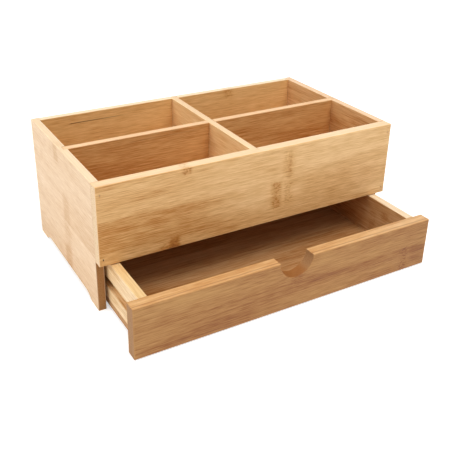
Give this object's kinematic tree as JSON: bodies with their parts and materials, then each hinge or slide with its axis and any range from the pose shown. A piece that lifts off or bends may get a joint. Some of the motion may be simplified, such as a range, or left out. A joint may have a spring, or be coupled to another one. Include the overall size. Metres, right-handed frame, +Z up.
{
  "type": "utensil caddy with drawer",
  "caption": "Free-standing bamboo utensil caddy: an open-topped case with crossed dividers over a pull-out drawer with a half-round finger notch.",
  "frame": {"origin": "on the table, under the middle of the whole object's box, with the drawer pulled out as it is at rest", "axes": "+X to the right of someone who faces the front, +Y to the back, +Z up; the drawer comes out along -Y"},
  "size_m": [0.3, 0.2348, 0.121],
  "materials": {
    "case_bamboo": "side-pressed bamboo board, sanded, clear satin lacquer",
    "inner_bamboo": "side-pressed bamboo board, sanded, clear satin lacquer",
    "runner_bamboo": "sanded bamboo strip, left dry",
    "drawer_bamboo": "side-pressed bamboo board, sanded, clear satin lacquer",
    "dowel_wood": "plain hardwood dowel, glued",
    "brad_steel": "dull steel brad, set below the surface"
  },
  "bodies": {
    "case": {"left_side": "case_bamboo", "right_side": "case_bamboo", "front_board": "case_bamboo", "back_board": "case_bamboo", "compartment_floor": "inner_bamboo", "long_divider": "inner_bamboo", "cross_divider": "inner_bamboo", "left_runner": "runner_bamboo", "right_runner": "runner_bamboo", "front_board_brads": "brad_steel", "runner_brads": "brad_steel"},
    "drawer": {"drawer_front": "drawer_bamboo", "drawer_left_side": "drawer_bamboo", "drawer_right_side": "drawer_bamboo", "drawer_back": "drawer_bamboo", "drawer_bottom": "drawer_bamboo", "drawer_front_dowels": "dowel_wood", "drawer_bottom_brads": "brad_steel", "drawer_back_brads": "brad_steel"}
  },
  "joints": [
    {"name": "drawer_slide", "type": "slide", "parent": "case", "child": "drawer", "axis": [0, -1, 0], "range_m": [-0.063, 0.035]}
  ]
}
